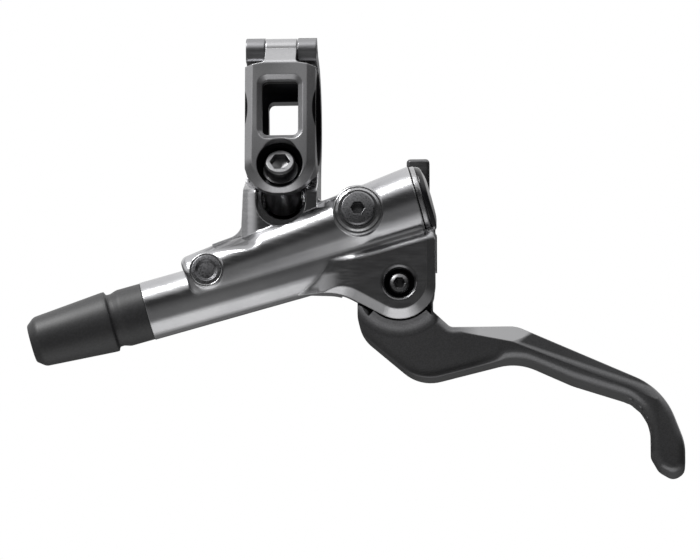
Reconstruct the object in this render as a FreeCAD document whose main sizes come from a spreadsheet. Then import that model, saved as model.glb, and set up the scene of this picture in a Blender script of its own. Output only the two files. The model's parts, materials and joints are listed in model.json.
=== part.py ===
"""Hydraulic brake lever for a bicycle: clamp, master cylinder, reservoir, lever blade and the parts inside.

Millimetres and degrees. The origin is the centre of the handlebar in the clamp, X runs along the bar
towards the blade's tip, Y away from the outer side of the lever, Z up from the cylinder to the bar.
"""
import FreeCAD
import Part
import math
import os
import re

from FreeCAD import Placement, Rotation, Vector

SIZES = (
    # handlebar clamp
    ("bar_radius", 11.1), ("clamp_width", 16.6), ("saddle_wall", 3.3),
    ("band_face", 14.0), ("band_top", 11.0), ("band_bevel", 1.9), ("lug_end", 20.4), ("lug_thick", 5.0),
    ("hinge_back", 7.0), ("hinge_rise", 15.0), ("hinge_radius", 3.0), ("hinge_pin_radius", 1.5),
    ("tongue_width", 7.3), ("running_gap", 0.05), ("side_gap", 0.25), ("split_gap", 1.3),
    ("window_width", 8.5), ("window_rise", 13.4), ("window_round", 1.4), ("window_bevel", 1.1),
    # clamp bolt
    ("bolt_tilt", 24.0), ("bolt_depth", 11.0), ("bolt_drop", 13.8), ("bolt_head_radius", 3.55),
    ("bolt_head_height", 4.0), ("bolt_shank_radius", 2.5), ("bolt_reach", 18.5), ("bolt_hex", 4.2),
    ("washer_radius", 4.1), ("washer_thick", 0.8), ("counterbore_radius", 5.4), ("lug_boss_radius", 4.3),
    ("lug_boss_reach", 13.6), ("bolt_clearance", 0.8), ("washer_room", 0.45),
    # master cylinder
    ("barrel_x", -31.9), ("barrel_z", -45.8), ("barrel_tilt", 15.5), ("barrel_radius", 6.95),
    ("barrel_length", 67.3), ("bore_radius", 5.0), ("bore_start", 14.0), ("bore_end", 52.2),
    ("port_radius", 4.0), ("port_depth", 8.6), ("passage_radius", 1.2), ("roof_start", 48.0),
    ("roof_rise", 8.0),
    ("roof_half", 6.1), ("snap_groove", 0.5), ("snap_ring_thick", 0.8), ("stop_washer_thick", 1.0),
    # piston, from its nose to the end the push rod pushes on
    ("piston_start", 30.0), ("piston_nose", 3.0), ("piston_nose_radius", 2.2), ("front_land", 3.0),
    ("piston_waist", 7.2), ("waist_radius", 3.2), ("middle_land", 0.8), ("seal_groove", 2.5),
    ("groove_radius", 3.4), ("rear_land", 3.1), ("piston_gap", 0.06), ("seal_gap", 0.1),
    ("rod_radius", 1.9), ("rod_seat", 4.8), ("wire_radius", 0.45), ("coil_radius", 3.4),
    # reservoir
    ("reservoir_x", -22.3), ("reservoir_z", -39.6), ("reservoir_tilt", 19.3), ("reservoir_forward", 2.9),
    ("reservoir_small", 5.85), ("reservoir_large", 8.6), ("reservoir_length", 60.0), ("end_station", 67.9),
    ("cavity_rise", 3.3), ("cavity_small", 2.5), ("cavity_large", 4.2), ("cavity_length", 42.0),
    ("timing_port", 0.35), ("feed_port", 1.0),
    ("cap_radius", 8.2), ("cap_crown", 2.15), ("cap_land", 1.1), ("lip_reach", 2.6), ("bladder_wall", 0.5),
    ("gasket_thick", 0.35),
    # pivot bracket and lever
    ("pivot_x", 27.64), ("pivot_z", -41.1), ("cheek_radius", 8.4), ("near_face", 8.2), ("far_face", 7.4),
    ("far_radius", 6.5), ("slot_half", 4.2), ("cheek_bevel", 2.0), ("slot_roof", 3.4),
    ("axle_radius", 2.5), ("axle_recess", 3.6), ("recess_depth", 1.6), ("axle_thread", 2.0),
    ("hub_radius", 7.9), ("hub_half", 3.95), ("bush_radius", 3.4),
    ("arm_lead", 11.0), ("arm_end_radius", 2.7), ("pin_radius", 1.2), ("eye_radius", 2.5),
    ("eye_half", 1.5),
    ("eye_clearance", 0.25), ("blade_half", 5.6), ("blade_round", 2.0), ("blade_reach", 66.4),
    ("facet_slope", 20.0), ("neck_slope", 25.0), ("dimple_radius", 0.9), ("dimple_depth", 0.38),
    # fittings
    ("bleed_x", 18.2), ("bleed_z", -24.4), ("bleed_radius", 4.03), ("bleed_hex", 2.9), ("bleed_boss", 6.0),
    ("bleed_front", 11.6), ("bleed_shank", 2.5), ("ring_wire", 0.4), ("plug_x", -17.4), ("plug_z", -38.0),
    ("plug_radius", 3.55), ("plug_front", 9.9),
    ("boot_length", 28.3), ("boot_ridge", 7.2), ("boot_small", 5.95), ("hose_radius", 2.55),
    ("nut_hex", 8.0), ("nut_head", 11.0), ("brace_low_x", 28.8), ("brace_high_x", 34.2),
    ("brace_near", 7.6), ("brace_far", 10.8), ("brace_top", 7.9),
)

doc = FreeCAD.newDocument("brake_lever")
sheet = doc.addObject("Spreadsheet::Sheet", "size")
for row, (alias, value) in enumerate(SIZES, 1):
    sheet.set("A%d" % row, alias)
    sheet.set("B%d" % row, str(value))
    sheet.setAlias("B%d" % row, alias)
doc.recompute()

ALIASES = {alias for alias, _ in SIZES}
S = {alias: float(sheet.get(alias)) for alias in ALIASES}


def in_sheet(formula):
    """A formula of aliases, such as 'bar_radius + side_gap', as an expression on the sheet."""
    return re.sub(r"[a-z_]+", lambda word: ("size." if word.group() in ALIASES else "") + word.group(),
                  formula)


def bind(thing, **formulas):
    for name, formula in formulas.items():
        thing.setExpression(name, in_sheet(formula))
    return thing


def raised(thing, formula):
    """Lifts a primitive along its own axis."""
    if formula != "0":
        thing.setExpression("Placement.Base.z", in_sheet(formula))
    return thing


def rod(radius, length, base="0"):
    return raised(bind(doc.addObject("Part::Cylinder", "rod"), Radius=radius, Height=length), base)


def taper(radius1, radius2, length, base="0"):
    cone = doc.addObject("Part::Cone", "taper")
    return raised(bind(cone, Radius1=radius1, Radius2=radius2, Height=length), base)


def hexagon(across, length, base="0"):
    prism = doc.addObject("Part::Prism", "hexagon")
    prism.Polygon = 6
    return raised(bind(prism, Circumradius="(%s) / 1.7320508" % across, Height=length), base)


def block(low, high, place=Placement()):
    """A box between two corners of plain numbers."""
    box = doc.addObject("Part::Box", "block")
    box.Length, box.Width, box.Height = high[0] - low[0], high[1] - low[1], high[2] - low[2]
    box.Placement = place.multiply(Placement(Vector(*low), Rotation()))
    return box


def fuse(*pieces):
    if len(pieces) == 1:
        return pieces[0]
    union = doc.addObject("Part::MultiFuse", "union")
    union.Shapes = list(pieces)
    return union


def cut(base, *tools):
    result = doc.addObject("Part::Cut", "cut")
    result.Base = base
    result.Tool = fuse(*tools)
    return result


def common(first, second):
    result = doc.addObject("Part::Common", "common")
    result.Base = first
    result.Tool = second
    return result


def placed(thing, place):
    """Moves a piece as a whole; a primitive already raised along its axis goes into a group first."""
    if any("Placement" in entry[0] for entry in thing.ExpressionEngine):
        group = doc.addObject("Part::Compound", "group")
        group.Links = [thing]
        thing = group
    thing.Placement = place
    return thing


def rounded(corners):
    """Lines and arcs of a closed outline: each corner is (x, y, radius)."""
    points = [Vector(x, y, 0) for x, y, _ in corners]
    count = len(corners)
    starts, ends, arcs = [], [], []
    for i, (_, _, radius) in enumerate(corners):
        here = points[i]
        back = (points[i - 1] - here).normalize()
        ahead = (points[(i + 1) % count] - here).normalize()
        half = 0.5 * back.getAngle(ahead)
        if radius <= 0 or math.pi / 2 - half < 1e-3:
            starts.append(here)
            ends.append(here)
            arcs.append(None)
            continue
        reach = radius / math.tan(half)
        middle = here + (back + ahead).normalize() * (radius / math.sin(half) - radius)
        starts.append(here + back * reach)
        ends.append(here + ahead * reach)
        arcs.append(Part.Arc(starts[-1], middle, ends[-1]))
    geometry = []
    for i in range(count):
        if arcs[i]:
            geometry.append(arcs[i])
        following = starts[(i + 1) % count]
        if (following - ends[i]).Length > 1e-4:
            geometry.append(Part.LineSegment(ends[i], following))
    return geometry


FRONT_VIEW = Rotation(Vector(1, 0, 0), 90)
SIDE_VIEW = Rotation(Vector(1, 1, 1), 120)
ALONG_Y = Rotation(Vector(1, 0, 0), -90)
ALONG_X = Rotation(Vector(0, 1, 0), 90)


def extruded(corners, rotation, start, length, axis):
    sketch = doc.addObject("Sketcher::SketchObject", "outline")
    sketch.addGeometry(rounded(corners))
    sketch.Placement = Placement(Vector(), rotation)
    sketch.setExpression("Placement.Base." + axis, in_sheet(start))
    solid = doc.addObject("Part::Extrusion", "extruded")
    solid.Base = sketch
    solid.DirMode = "Normal"
    solid.Solid = True
    return bind(solid, LengthFwd=length)


def plate(corners, near, far):
    """An outline in X and Z, filled from near to far along Y."""
    return extruded(corners, FRONT_VIEW, far, "(%s) - (%s)" % (far, near), "y")


def slab(corners, low, high):
    """An outline in Y and Z, filled from low to high along X."""
    return extruded(corners, SIDE_VIEW, low, "(%s) - (%s)" % (high, low), "x")


def edges_where(thing, test):
    doc.recompute()
    return [i for i, edge in enumerate(thing.Shape.Edges, 1) if test(edge)]


def rounded_edges(thing, radius, test, kind="Part::Fillet"):
    result = doc.addObject(kind, "dressed")
    result.Base = thing
    result.Edges = [(number, radius, radius) for number in edges_where(thing, test)]
    return result


def bevelled(thing, bevel, depth):
    """The plate with its edges in the plane Y = depth cut at 45 degrees."""
    return rounded_edges(thing, bevel, at_depth(depth), "Part::Chamfer")


def spun(profile):
    """A piece turned round Z: corners are (height, radius, rounding)."""
    sketch = doc.addObject("Sketcher::SketchObject", "profile")
    sketch.addGeometry(rounded(profile))
    sketch.Placement = Placement(Vector(), Rotation(Vector(0, 1, 0), -90))
    turning = doc.addObject("Part::Revolution", "spun")
    turning.Source = sketch
    turning.Axis = Vector(0, 0, 1)
    turning.Base = Vector()
    turning.Angle = 360
    turning.Solid = True
    return turning


def at_depth(depth):
    """Edges that lie in the plane Y = depth."""
    return lambda edge: abs(edge.BoundBox.YMin - depth) < 1e-4 and abs(edge.BoundBox.YMax - depth) < 1e-4


NODES = []


def node(name, thing, place=None):
    thing.Label = name
    if place:
        thing.Placement = place
    NODES.append(thing)
    return thing


def polar(radius, angle):
    return radius * math.cos(math.radians(angle)), radius * math.sin(math.radians(angle))


# Frames: the cylinder's axis, the reservoir's axis, the clamp bolt's axis and the pivot's axis
TILT = math.radians(S["barrel_tilt"])
BARREL = Placement(Vector(S["barrel_x"], 0, S["barrel_z"]),
                   Rotation(Vector(0, 1, 0), 90 - S["barrel_tilt"]))
RESERVOIR = Placement(Vector(S["reservoir_x"], -S["reservoir_forward"], S["reservoir_z"]),
                      Rotation(Vector(0, 1, 0), 90 - S["reservoir_tilt"]))
BOLT = Placement(Vector(0, -S["bolt_depth"], -S["bolt_drop"]),
                 Rotation(Vector(1, 0, 0), -90 - S["bolt_tilt"]))


def barrel_point(station, rise):
    """X and Z of a point at a station along the cylinder's axis and a rise above it."""
    return (S["barrel_x"] + station * math.cos(TILT) - rise * math.sin(TILT),
            S["barrel_z"] + station * math.sin(TILT) + rise * math.cos(TILT))


# The pivot seen from the cylinder: the arm's pin starts on the cylinder's axis, ahead of the pivot
ACROSS, BELOW = S["pivot_x"] - S["barrel_x"], S["pivot_z"] - S["barrel_z"]
PIVOT_STATION = ACROSS * math.cos(TILT) + BELOW * math.sin(TILT)
PIVOT_DROP = ACROSS * math.sin(TILT) - BELOW * math.cos(TILT)
ARM = PIVOT_DROP / math.cos(math.radians(S["arm_lead"]))
PIN_STATION = PIVOT_STATION + PIVOT_DROP * math.tan(math.radians(S["arm_lead"]))
PIN_X, PIN_Z = barrel_point(PIN_STATION, 0)
HALF_WIDTH = S["clamp_width"] / 2
PISTON_START = S["piston_start"]


def cap_seat():
    """The middle of the reservoir's end face, looking along the cylinder."""
    across_x, across_z = S["reservoir_x"] - S["barrel_x"], S["reservoir_z"] - S["barrel_z"]
    along = S["end_station"] - across_x * math.cos(TILT) - across_z * math.sin(TILT)
    along /= math.cos(math.radians(S["reservoir_tilt"] - S["barrel_tilt"]))
    return Placement(RESERVOIR.multVec(Vector(0, 0, along)), BARREL.Rotation)


def bar_hole(clearance="0"):
    """The handlebar as a cutter, longer than the clamp."""
    bar = rod("bar_radius + " + clearance, "6 * clamp_width")
    return placed(bar, Placement(Vector(-3 * S["clamp_width"], 0, 0), ALONG_X))


def bolt_hole(radius, start, length):
    return placed(rod(radius, length, start), BOLT)


def window(half_shrink, near, far):
    width = S["window_width"] / 2 - half_shrink
    rise = S["window_rise"] / 2 - half_shrink
    turn = max(S["window_round"] - half_shrink, 0.3)
    return plate([(-width, -rise, turn), (width, -rise, turn), (width, rise, turn), (-width, rise, turn)],
                 near, far)


def clamp_band():
    face, top, end = -S["band_face"], S["band_top"], -S["lug_end"]
    back, rise, radius = -S["hinge_back"], S["hinge_rise"], S["hinge_radius"]
    split_y, split_z = polar(S["bar_radius"] + 0.5, 256)
    section = slab([(face, top, 1.5), (back - radius, rise, 0), (back + radius * 0.8, rise, 0),
                    (back + radius * 0.9, top - 1.0, 0), (0, 0, 0), (split_y, split_z, 0),
                    (split_y + 0.9, split_z - 2.2, 0.6), (face + S["lug_thick"], split_z - 5.5, 1.0),
                    (face + S["lug_thick"], end, 0.8), (face, end, 0)],
                   "-clamp_width / 2", "clamp_width / 2")
    round_end = HALF_WIDTH - 0.4
    front = plate([(-HALF_WIDTH, rise, 0), (HALF_WIDTH, rise, 0), (HALF_WIDTH, end, round_end),
                   (-HALF_WIDTH - 0.3, end, round_end)], "-band_face", "bar_radius")
    blank = common(section, bevelled(front, S["band_bevel"], -S["band_face"]))
    barrel = placed(rod("hinge_radius", "clamp_width"), Placement(Vector(-HALF_WIDTH, back, rise), ALONG_X))
    boss = placed(rod("lug_boss_radius", "lug_boss_reach"), BOLT)
    band = fuse(blank, barrel, boss)
    inner = S["tongue_width"] / 2
    low = rise - radius - 1.2
    sides = [plate([(side * inner, low, 1.0), (side * (HALF_WIDTH + 1), low - 1.0, 0),
                    (side * (HALF_WIDTH + 1), rise + 5, 0), (side * inner, rise + 5, 0)],
                   "-band_face - 1", "bar_radius") for side in (-1, 1)]
    pin = placed(rod("hinge_pin_radius + running_gap", "clamp_width + 2"),
                 Placement(Vector(-HALF_WIDTH - 1, back, rise), ALONG_X))
    opening = window(0, "window_bevel - band_face - 0.2", "-bar_radius / 2")
    frame = window(-S["window_bevel"], "-band_face - 1", "-band_face + window_bevel")
    slope = bevelled(frame, S["window_bevel"] * 0.98, -S["band_face"] + S["window_bevel"])
    recess = placed(rod("counterbore_radius", "band_face - bolt_depth + 1.5"),
                    Placement(Vector(0, -S["band_face"] - 1, -S["bolt_drop"]), ALONG_Y))
    spot = bolt_hole("washer_radius + washer_room", "-8", "8 + bolt_head_height / 2")
    shank = bolt_hole("bolt_shank_radius + bolt_clearance", "0", "lug_boss_reach + 2")
    return node("clamp_band", cut(band, bar_hole(), *sides, pin, opening, slope, recess, spot, shank))


def turned(steps, hollows=()):
    """A turned piece on its own axis: steps are (radius, length) or (radius, end radius, length)."""
    solids, base = [], "0"
    for step in steps:
        if len(step) == 2:
            solids.append(rod(step[0], step[1], base))
        else:
            solids.append(taper(step[0], step[1], step[2], base))
        base = "%s + %s" % (base, step[-1])
    piece = fuse(*solids)
    if hollows:
        piece = cut(piece, *hollows)
    return piece


def clamp_fasteners():
    start = Placement(Vector(0, 0, -S["bolt_head_height"] / 2), Rotation())
    bolt = turned([("bolt_head_radius - 0.4", "bolt_head_radius", "0.4"),
                   ("bolt_head_radius", "bolt_head_height - washer_thick - 0.4"),
                   ("bolt_shank_radius", "bolt_reach"),
                   ("bolt_shank_radius", "bolt_shank_radius - 0.5", "0.6")],
                  [hexagon("bolt_hex", "2.2", "-0.1"), taper("bolt_hex / 2", "0.1", "0.7", "2.1")])
    node("clamp_bolt", bolt, BOLT.multiply(start))
    washer = cut(rod("washer_radius", "washer_thick"),
                 rod("bolt_shank_radius + running_gap", "washer_thick + 2", "-1"))
    rest = Placement(Vector(0, 0, S["bolt_head_height"] / 2 - S["washer_thick"]), Rotation())
    node("bolt_washer", washer, BOLT.multiply(rest))
    pin = fuse(taper("hinge_pin_radius - 0.3", "hinge_pin_radius", "0.3"),
               rod("hinge_pin_radius", "clamp_width - 0.9", "0.3"),
               taper("hinge_pin_radius", "hinge_pin_radius - 0.3", "0.3", "clamp_width - 0.6"))
    node("clamp_hinge_pin", pin,
         Placement(Vector(0.15 - HALF_WIDTH, -S["hinge_back"], S["hinge_rise"]), ALONG_X))


def saddle():
    """The half of the clamp that is one piece with the cylinder, down to the reservoir."""
    back, rise, radius = -S["hinge_back"], S["hinge_rise"], S["hinge_radius"]
    outer = S["bar_radius"] + S["saddle_wall"]
    split = -1.2
    shell = []
    for angle in (100, 80, 60, 40, 20, 0, -20, -38):
        y, z = polar(outer / math.cos(math.radians(10)), angle)
        shell.append((y, z, outer * 0.9))
    ring = slab([(split, -11.0, 0), (split, 0, 0), (split - 1.6, 9.0, 0), (back + radius + 0.2, 11.9, 0),
                 (back - radius + 0.6, 12.1, 0.9),
                 (back - radius, rise, 0), (back - radius, rise + radius, radius - 0.1),
                 (back + 1.0, rise + radius, 1.5)] + shell
                + [(10.6, -20.0, 4.0), (6.2, -31.0, 0), (-7.4, -31.0, 0), (-8.0, -18.6, 1.2),
                   (-2.4, -15.6, 1.0),
                   (split, -13.0, 0)], "-clamp_width / 2", "clamp_width / 2")
    left = -HALF_WIDTH
    walls = plate([(left, -11.0, 0), (HALF_WIDTH, -11.0, 0), (HALF_WIDTH + 0.2, -32, 0),
                   (left - 1.1, -38, 0),
                   (left - 1.1, -28, 0), (left - 0.5, -15, 8.0)], "-band_face", "bar_radius + saddle_wall")
    leg = slab([(split, -11.0, 0), (7.6, -11.0, 0), (10.2, -18.0, 8.0), (5.0, -35.5, 0), (-5.0, -35.5, 0),
                (-7.4, -31.0, 0), (-8.0, -18.6, 1.2), (-2.4, -15.6, 1.0), (split, -13.0, 0)],
                "-clamp_width", "clamp_width")
    flare = plate([(left + 4, -24, 0), (left - 1.0, -24, 0), (left - 1.05, -28.4, 4.2),
                   (left - 8.0, -30.9, 0),
                   (left - 8.0, -34, 0), (HALF_WIDTH + 4, -25, 0), (HALF_WIDTH + 4, -20.1, 0),
                   (HALF_WIDTH + 0.1, -21.4, 1.3), (HALF_WIDTH, -18.0, 0), (0, -18.0, 0)], "-5.9", "0")

    def flare_rim(edge):
        box = edge.BoundBox
        return (at_depth(-5.9)(edge) or at_depth(0)(edge)) and box.ZMin > -31.2 and box.XMax < left - 0.5

    foot = fuse(common(walls, leg), rounded_edges(flare, 0.9, flare_rim))
    barrel = placed(rod("hinge_radius", "clamp_width"), Placement(Vector(left, back, rise), ALONG_X))
    inner = S["tongue_width"] / 2 + S["side_gap"]
    tongue = plate([(-inner, 3, 0), (inner, 3, 0), (inner, rise + 8, 0), (-inner, rise + 8, 0)],
                   "-band_face", "-hinge_back + hinge_radius + 0.6")
    return ring, foot, barrel, tongue


def cheek_outlines():
    x, z, radius = S["pivot_x"], S["pivot_z"], S["cheek_radius"]
    slope = math.radians(28.8)
    touch_x, touch_z = x - radius * math.sin(slope), z - radius * math.cos(slope)
    right = x + radius

    def on_slope(at, from_x, from_z, angle):
        return from_z - math.tan(angle) * (at - from_x)

    root_x, web_x = x - 24.0, x - 13.6
    root_low = barrel_point(PIVOT_STATION - 24.5, 0.6 - S["barrel_radius"])[1]
    near = [(root_x, z + 4.2, 0), (right, z + 13.3, 2.2),
            (right, on_slope(right, touch_x, touch_z, slope), radius),
            (web_x, on_slope(web_x, touch_x, touch_z, slope), 12.0), (root_x, root_low, 0)]
    radius = S["far_radius"]
    slope = math.radians(40)
    touch_x, touch_z = x - radius * math.sin(slope), z - radius * math.cos(slope)
    right = x + radius
    far = [(14.0, -34.0, 0), (right, -29.0, 0), (right, on_slope(right, touch_x, touch_z, slope), radius),
           (14.0, on_slope(14.0, touch_x, touch_z, slope), 0)]
    return near, far


def master_cylinder_body():
    barrel = placed(rod("barrel_radius", "barrel_length"), BARREL)
    tank = placed(spun([(0, 0, 0), (0, S["reservoir_small"], 1.8),
                        (S["reservoir_length"], S["reservoir_large"], 0),
                        (S["reservoir_length"], 0, 0)]), RESERVOIR)
    far = 40.0
    end_box = block((-far, -far, S["end_station"]), (far, far, S["end_station"] + far), BARREL)
    tank = cut(tank, end_box)
    near_outline, far_outline = cheek_outlines()
    near_cheek = bevelled(plate(near_outline, "-near_face", "-slot_half / 2"), S["cheek_bevel"],
                          -S["near_face"])
    ramp_start, ramp_end, beyond = S["pivot_x"] - 23.9, S["pivot_x"] - 14.6, S["pivot_x"] + 20
    ramp = extruded([(ramp_start, -2.3, 0), (ramp_end, -S["near_face"], 16.0), (beyond, -S["near_face"], 0),
                     (beyond, 0, 0), (ramp_start, 0, 0)], Rotation(), "pivot_z - 20", "40", "z")
    near_cheek = common(near_cheek, ramp)
    far_cheek = rounded_edges(plate(far_outline, "slot_half / 2", "far_face"), 1.6, at_depth(S["far_face"]))
    roof_low = barrel_point(S["roof_start"], 0)
    roof_top = barrel_point(S["roof_start"], S["roof_rise"])
    roof_right = barrel_point(S["end_station"] - 0.6, S["roof_rise"])
    under_cap = barrel_point(S["end_station"] - 0.6, 0.6)
    right = S["pivot_x"] + S["cheek_radius"]
    roof = plate([(*roof_low, 0), (*roof_top, 0), (*roof_right, 0), (*under_cap, 0),
                  (right, barrel_point(S["end_station"] + 2.1, 0.6)[1], 0.8), (right, S["pivot_z"] + 5, 0)],
                 "-roof_half", "roof_half")
    bleed_boss = placed(turned([("bleed_boss - 1.2", "bleed_boss - 0.9", "0.3"),
                                ("bleed_boss - 0.9", "0.2"),
                                ("bleed_boss - 0.3", "bleed_boss", "0.3"), ("bleed_boss", "5")]),
                        Placement(Vector(S["bleed_x"], -S["bleed_front"], S["bleed_z"]), ALONG_Y))
    plug_boss = placed(rod("plug_radius + 0.5", "plug_front - reservoir_forward"),
                       Placement(Vector(S["plug_x"], -S["plug_front"] + 0.4, S["plug_z"]), ALONG_Y))
    low_x, high_x = S["brace_low_x"], S["brace_high_x"]
    brace = plate([(high_x, -31.5, 0), (high_x, -S["brace_top"], 0.9), (low_x, -S["brace_top"], 0.9),
                   (low_x, -18.6, 3.5), (low_x - 6, -21.5, 5.0), (low_x - 9, -31.5, 0)], "brace_near",
                   "brace_far")
    brace = bevelled(rounded_edges(brace, 1.1, at_depth(S["brace_far"])), 0.6, S["brace_near"])
    web = plate([(low_x - 7.5, -31.0, 0), (high_x - 1.5, -31.0, 0), (low_x + 1.2, -19.5, 2.0),
                 (low_x - 5.2, -22.2, 4.0)],
                "0", "brace_near + 1")
    ring, foot, hinge, tongue = saddle()
    solid = fuse(barrel, tank, near_cheek, far_cheek, roof, bleed_boss, plug_boss, brace, web,
                 cut(fuse(ring, hinge), tongue), foot)

    bore = placed(fuse(rod("bore_radius", "bore_end - bore_start", "bore_start"),
                       rod("bore_radius + snap_groove", "snap_ring_thick + 0.2",
                           "bore_end - snap_ring_thick - 0.8"),
                       rod("passage_radius", "bore_start", "1"),
                       rod("port_radius", "port_depth", "0"),
                       rod("port_radius - 0.3", "port_depth + 2.4", "0")), BARREL)
    slot_low = barrel_point(S["bore_end"], -30)
    slot_top = barrel_point(S["bore_end"], S["slot_roof"])
    slot_right = barrel_point(S["end_station"] + 10, S["slot_roof"])
    slot_right_low = barrel_point(S["end_station"] + 10, -30)
    slot = plate([(*slot_low, 0), (*slot_top, 0), (*slot_right, 0), (*slot_right_low, 0)], "-slot_half",
                 "slot_half")
    lower_slot = plate([(S["pivot_x"] - 14, S["pivot_z"] - 20, 0),
                        (S["pivot_x"] + 14, S["pivot_z"] - 20, 0),
                        (S["pivot_x"] + 14, S["pivot_z"] + 6, 0), (S["pivot_x"] - 9, S["pivot_z"] + 6, 0),
                        (S["pivot_x"] - 14, S["pivot_z"] - 3, 0)], "-slot_half", "slot_half")
    axle = fuse(rod("axle_recess", "recess_depth + 0.01", "0"),
                rod("axle_radius + 0.02", "near_face + slot_half", "0"),
                rod("axle_thread + 0.02", "near_face + far_face + 1", "0"),
                taper("axle_recess + 0.5", "axle_recess", "0.5", "0"))
    axle = placed(axle, Placement(Vector(S["pivot_x"], -S["near_face"], S["pivot_z"]), ALONG_Y))
    cavity_start = Vector(-S["cavity_rise"], 0, S["reservoir_length"] - S["cavity_length"])
    cavity = placed(taper("cavity_small", "cavity_large", "cavity_length"),
                    RESERVOIR.multiply(Placement(cavity_start, Rotation())))
    cap_room = placed(rod("cap_radius + 0.15", "8"), cap_seat())
    ports = [placed(rod(radius, "5"), BARREL.multiply(Placement(Vector(-2.5, -S["reservoir_forward"], station),
                                                                 Rotation(Vector(0, 1, 0), -90))))
             for radius, station in (("timing_port", PISTON_START - 0.8), ("feed_port", PISTON_START + 8))]
    bleed_hole = placed(fuse(rod("bleed_shank", "bleed_front - 2.2"),
                             rod("bleed_shank + 2 * ring_wire + 0.06", "0.47")),
                        Placement(Vector(S["bleed_x"], -S["bleed_front"] - 0.01, S["bleed_z"]), ALONG_Y))
    plug_hole = placed(fuse(rod("plug_radius - 0.9", "4"),
                            taper("plug_radius", "plug_radius - 0.9", "0.9")),
                       Placement(Vector(S["plug_x"], -S["plug_front"] + 0.39, S["plug_z"]), ALONG_Y))
    pocket = plate([(-6.0, -27.2, 5.6), (5.7, -27.2, 5.6), (5.7, -10, 0), (-6.0, -10, 0)], "-band_face",
                   "-0.4")
    boss_room = bolt_hole("lug_boss_radius + 0.9", "0", "lug_boss_reach + split_gap")
    bolt_thread = bolt_hole("bolt_shank_radius + 0.02", "0", "bolt_reach + 2")
    rear_window = window(0, "bar_radius / 2", "bar_radius + saddle_wall + 8")
    pin_hole = placed(rod("hinge_pin_radius + running_gap", "clamp_width + 2"),
                      Placement(Vector(-HALF_WIDTH - 1, -S["hinge_back"], S["hinge_rise"]), ALONG_X))
    return node("master_cylinder_body", cut(solid, bar_hole("0"), bore, slot, lower_slot, axle, cavity,
                                            bleed_hole,
                                            plug_hole, pocket, boss_room, bolt_thread, rear_window,
                                            pin_hole,
                                            cap_room, *ports))


def finger_outline():
    """The blade seen from the front: corners (x, z, radius) measured from the pivot."""
    reach = S["blade_reach"] / 66.4
    hub = [(-9.95, -1.6, 0), (7.5, -1.6, 0), (7.5, -6.0, 2.0), (11.8 * reach, -9.98, 2.0)]
    upper = [(27.2, -9.98, 7.0), (61.3, -25.15, 17.0), (66.15, -38.0, 12.0), (66.1, -43.9, 2.4)]
    tip = [(63.4, -45.6, 2.4), (60.0, -43.6, 3.2), (58.15, -40.3, 2.5)]
    lower = [(58.15, -28.83, 9.6), (40.0, -22.95, 18.0), (27.3, -17.15, 13.0)]
    belly = [(4.5, -22.8, 9.6), (-9.95, -10.46, 8.5)]
    stretched = [(x * reach, z, radius) for x, z, radius in upper + tip + lower]
    return [(S["pivot_x"] + x, S["pivot_z"] + z, radius) for x, z, radius in hub + stretched + belly]


def facets():
    """The upper half of the finger rest slopes back on both sides from two creases along the blade."""
    stretch = S["blade_reach"] / 66.4
    creases = (((13.05, -11.3), (25.1, -13.7), S["neck_slope"], -1.8),
               ((28.3, -14.8), (40.9, -20.1), S["facet_slope"], -9))
    cutters = []
    for first, last, slope, before in creases:
        start = Vector(S["pivot_x"] + first[0] * stretch, 0, S["pivot_z"] + first[1])
        end = Vector(S["pivot_x"] + last[0] * stretch, 0, S["pivot_z"] + last[1])
        along = (end - start).normalize()
        lean = math.radians(slope)
        for side in (-1, 1):
            outward = Vector(-along.z, 0, along.x) * math.sin(lean) + Vector(0, side * math.cos(lean), 0)
            turn = Rotation(along, outward.cross(along), outward, "ZXY")
            crease = start + Vector(0, side * S["blade_half"], 0)
            cutters.append(block((before, -20, 0), (70, 20, 9), Placement(crease, turn)))
    return cutters


def dimples(outline):
    """Rows of round dimples on the finger's side of the hook."""
    path = Part.Wire(Part.sortEdges([piece.toShape() for piece in rounded(outline)])[0])
    focus = Vector(S["pivot_x"] + 48.5 * S["blade_reach"] / 66.4, S["pivot_z"] - 36.5, 0)
    spots = []
    for row in range(9):
        angle = math.radians(60 - 8.4 * row)
        toward = Vector(math.cos(angle), math.sin(angle), 0)
        ahead = [point for point in path.discretize(Distance=0.2)
                 if (point - focus).cross(toward).Length < 0.12 and (point - focus).dot(toward) > 0]
        near = min(ahead, key=lambda point: (point - focus).Length)
        for across in ((-0.72, 0, 0.72) if row % 2 == 0 else (-0.38, 0.38)):
            sunk = S["dimple_depth"] + (0.2 if abs(across) > 0.5 else 0)
            centre = near - toward * (S["dimple_radius"] - sunk)
            ball = bind(doc.addObject("Part::Sphere", "dimple"), Radius="dimple_radius")
            ball.Placement = Placement(Vector(centre.x, across * S["blade_half"], centre.y),
                                       Rotation(Vector(-1, 0, 0), Vector(toward.x, 0, toward.y)))
            spots.append(ball)
    return spots


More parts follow.
